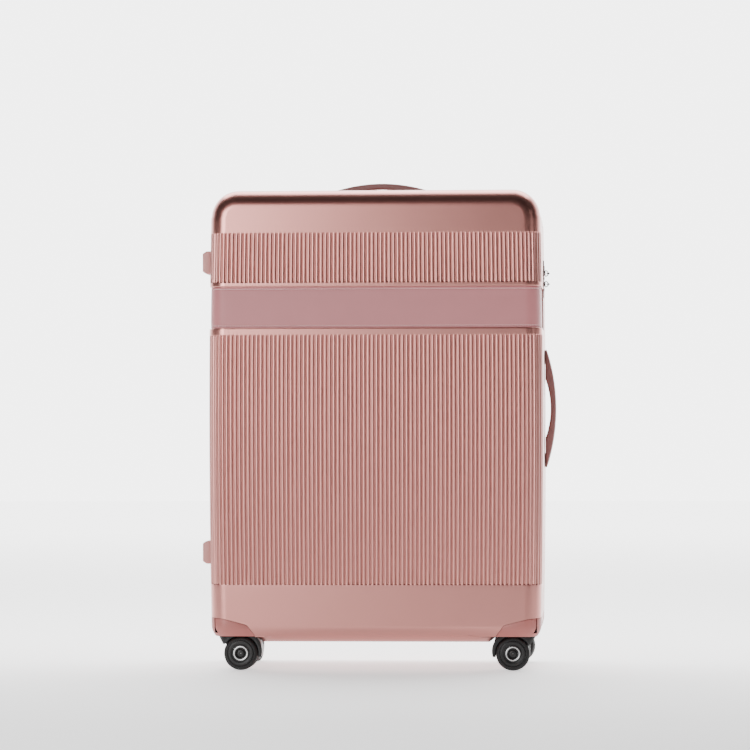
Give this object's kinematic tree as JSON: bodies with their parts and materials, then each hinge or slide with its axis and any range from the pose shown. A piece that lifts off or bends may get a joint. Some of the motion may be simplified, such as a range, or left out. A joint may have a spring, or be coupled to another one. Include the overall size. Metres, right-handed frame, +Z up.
{
  "type": "hard shell suitcase on wheels",
  "caption": "Upright hard shell suitcase with a ribbed shell, a leather band, carry handles, a telescopic trolley and swivelling twin-wheel casters.",
  "frame": {"origin": "on the floor under the middle of the case", "axes": "+Z up, front face towards -Y, hinge side towards -X, carry handle side towards +X"},
  "size_m": [0.5514, 0.31, 0.772],
  "materials": {
    "shell_paint": "satin rose metallic paint over polycarbonate, ribbed",
    "band_leather": "fine-grained dusty pink leather, sewn edges",
    "handle_leather": "smooth mauve leather over a moulded core",
    "housing_plastic": "pink moulded plastic, fine texture",
    "foot_plastic": "pale pink moulded plastic",
    "black_plastic": "black glass-filled nylon",
    "tyre": "black polyurethane tread",
    "steel": "zinc-plated steel",
    "aluminium": "anodised rose aluminium tube",
    "dark_metal": "gunmetal die-cast zip hardware",
    "lock_plastic": "dark glossy moulded lock case",
    "dial_plastic": "pale number dials",
    "zip_fabric": "woven zip tape with nylon coil",
    "lining_fabric": "woven polyester lining",
    "strap_webbing": "flat elastic webbing with a buckle"
  },
  "bodies": {
    "rear_half": {"rear_shell": "shell_paint", "rear_lining": "lining_fabric", "rear_zip": "zip_fabric", "packing_straps": "strap_webbing", "wheel_housing_rear_left": "housing_plastic", "wheel_housing_rear_right": "housing_plastic", "rear_housing_screws": "steel", "rear_side_feet": "foot_plastic", "top_handle_mounts": "housing_plastic", "side_handle_mounts": "housing_plastic", "lock_body": "lock_plastic", "trolley_outer_tubes": "aluminium", "trolley_bezel": "housing_plastic", "trolley_bracket": "black_plastic"},
    "front_half": {"front_shell": "shell_paint", "leather_band": "band_leather", "front_lining": "lining_fabric", "front_zip": "zip_fabric", "wheel_housing_front_left": "housing_plastic", "wheel_housing_front_right": "housing_plastic", "front_housing_screws": "steel", "front_side_feet": "foot_plastic"},
    "trolley_lower": {"trolley_lower_stage": "aluminium"},
    "trolley_upper": {"trolley_upper_stage": "aluminium", "trolley_grip": "black_plastic"},
    "trolley_push_button": {"trolley_button": "black_plastic"},
    "top_carry_handle": {"top_handle": "handle_leather"},
    "side_carry_handle": {"side_handle": "handle_leather"},
    "dial_1": {"lock_dial_1": "dial_plastic"},
    "dial_2": {"lock_dial_2": "dial_plastic"},
    "dial_3": {"lock_dial_3": "dial_plastic"},
    "lock_release": {"lock_button": "dark_metal"},
    "upper_slider": {"zip_slider_upper": "dark_metal"},
    "upper_pull": {"zip_pull_upper": "dark_metal"},
    "lower_slider": {"zip_slider_lower": "dark_metal"},
    "lower_pull": {"zip_pull_lower": "dark_metal"},
    "caster_front_left": {"caster_fork_front_left": "black_plastic", "caster_pins_front_left": "steel"},
    "wheel_front_left_outer": {"tyre_front_left_outer": "tyre", "hub_front_left_outer": "black_plastic"},
    "wheel_front_left_inner": {"tyre_front_left_inner": "tyre", "hub_front_left_inner": "black_plastic"},
    "caster_front_right": {"caster_fork_front_right": "black_plastic", "caster_pins_front_right": "steel"},
    "wheel_front_right_outer": {"tyre_front_right_outer": "tyre", "hub_front_right_outer": "black_plastic"},
    "wheel_front_right_inner": {"tyre_front_right_inner": "tyre", "hub_front_right_inner": "black_plastic"},
    "caster_rear_left": {"caster_fork_rear_left": "black_plastic", "caster_pins_rear_left": "steel"},
    "wheel_rear_left_outer": {"tyre_rear_left_outer": "tyre", "hub_rear_left_outer": "black_plastic"},
    "wheel_rear_left_inner": {"tyre_rear_left_inner": "tyre", "hub_rear_left_inner": "black_plastic"},
    "caster_rear_right": {"caster_fork_rear_right": "black_plastic", "caster_pins_rear_right": "steel"},
    "wheel_rear_right_outer": {"tyre_rear_right_outer": "tyre", "hub_rear_right_outer": "black_plastic"},
    "wheel_rear_right_inner": {"tyre_rear_right_inner": "tyre", "hub_rear_right_inner": "black_plastic"}
  },
  "joints": [
    {"name": "case_hinge", "type": "hinge", "parent": "rear_half", "child": "front_half", "pos_m": [-0.262, 0, 0.4], "axis": [0, 0, -1], "range_deg": [0, 155]},
    {"name": "trolley_upper_slide", "type": "slide", "parent": "trolley_lower", "child": "trolley_upper", "axis": [0, 0, 1], "range_m": [0, 0.175]},
    {"name": "trolley_lower_slide", "type": "slide", "parent": "rear_half", "child": "trolley_lower", "axis": [0, 0, 1], "range_m": [0, 0.175]},
    {"name": "trolley_button_press", "type": "slide", "parent": "trolley_upper", "child": "trolley_push_button", "axis": [0, 0, -1], "range_m": [0, 0.003], "stiffness_N_per_m": 400},
    {"name": "top_handle_pull", "type": "slide", "parent": "rear_half", "child": "top_carry_handle", "axis": [0, 0, 1], "range_m": [0, 0.012], "stiffness_N_per_m": 300},
    {"name": "side_handle_pull", "type": "slide", "parent": "rear_half", "child": "side_carry_handle", "axis": [1, 0, 0], "range_m": [0, 0.012], "stiffness_N_per_m": 300},
    {"name": "lock_release_press", "type": "slide", "parent": "rear_half", "child": "lock_release", "axis": [-1, 0, 0], "range_m": [0, 0.0015], "stiffness_N_per_m": 400},
    {"name": "upper_slider_run", "type": "slide", "parent": "rear_half", "child": "upper_slider", "axis": [0, 0, 1], "range_m": [0, 0.055]},
    {"name": "lower_slider_run", "type": "slide", "parent": "rear_half", "child": "lower_slider", "axis": [0, 0, -1], "range_m": [0, 0.45]},
    {"name": "upper_pull_swing", "type": "hinge", "parent": "upper_slider", "child": "upper_pull", "pos_m": [0.2674, 0, 0.625], "axis": [0, 0, -1], "range_deg": [0, 170]},
    {"name": "lower_pull_swing", "type": "hinge", "parent": "lower_slider", "child": "lower_pull", "pos_m": [0.2674, 0, 0.608], "axis": [0, 0, -1], "range_deg": [0, 170]},
    {"name": "dial_1_turn", "type": "hinge", "parent": "rear_half", "child": "dial_1", "pos_m": [0.2551, 0.021, 0.6], "axis": [0, 0, 1], "continuous": true},
    {"name": "dial_2_turn", "type": "hinge", "parent": "rear_half", "child": "dial_2", "pos_m": [0.2551, 0.021, 0.609], "axis": [0, 0, 1], "continuous": true},
    {"name": "dial_3_turn", "type": "hinge", "parent": "rear_half", "child": "dial_3", "pos_m": [0.2551, 0.021, 0.618], "axis": [0, 0, 1], "continuous": true},
    {"name": "swivel_front_left", "type": "hinge", "parent": "front_half", "child": "caster_front_left", "pos_m": [-0.228, -0.1, 0.054], "axis": [0, 0, 1], "continuous": true},
    {"name": "roll_front_left_outer", "type": "hinge", "parent": "caster_front_left", "child": "wheel_front_left_outer", "pos_m": [-0.213, -0.1, 0.0265], "axis": [0, 1, 0], "continuous": true},
    {"name": "roll_front_left_inner", "type": "hinge", "parent": "caster_front_left", "child": "wheel_front_left_inner", "pos_m": [-0.213, -0.1, 0.0265], "axis": [0, 1, 0], "continuous": true},
    {"name": "swivel_front_right", "type": "hinge", "parent": "front_half", "child": "caster_front_right", "pos_m": [0.228, -0.1, 0.054], "axis": [0, 0, 1], "continuous": true},
    {"name": "roll_front_right_outer", "type": "hinge", "parent": "caster_front_right", "child": "wheel_front_right_outer", "pos_m": [0.213, -0.1, 0.0265], "axis": [0, -1, 0], "continuous": true},
    {"name": "roll_front_right_inner", "type": "hinge", "parent": "caster_front_right", "child": "wheel_front_right_inner", "pos_m": [0.213, -0.1, 0.0265], "axis": [0, -1, 0], "continuous": true},
    {"name": "swivel_rear_left", "type": "hinge", "parent": "rear_half", "child": "caster_rear_left", "pos_m": [-0.228, 0.1, 0.054], "axis": [0, 0, 1], "continuous": true},
    {"name": "roll_rear_left_outer", "type": "hinge", "parent": "caster_rear_left", "child": "wheel_rear_left_outer", "pos_m": [-0.2254, 0.11477, 0.0265], "axis": [-0.9848, 0.1736, 0], "continuous": true},
    {"name": "roll_rear_left_inner", "type": "hinge", "parent": "caster_rear_left", "child": "wheel_rear_left_inner", "pos_m": [-0.2254, 0.11477, 0.0265], "axis": [-0.9848, 0.1736, 0], "continuous": true},
    {"name": "swivel_rear_right", "type": "hinge", "parent": "rear_half", "child": "caster_rear_right", "pos_m": [0.228, 0.1, 0.054], "axis": [0, 0, 1], "continuous": true},
    {"name": "roll_rear_right_outer", "type": "hinge", "parent": "caster_rear_right", "child": "wheel_rear_right_outer", "pos_m": [0.21351, 0.10388, 0.0265], "axis": [-0.2588, -0.9659, 0], "continuous": true},
    {"name": "roll_rear_right_inner", "type": "hinge", "parent": "caster_rear_right", "child": "wheel_rear_right_inner", "pos_m": [0.21351, 0.10388, 0.0265], "axis": [-0.2588, -0.9659, 0], "continuous": true}
  ],
  "couplings": [
    {"joint": "trolley_lower_slide", "follows": "trolley_upper_slide", "ratio": 1}
  ]
}
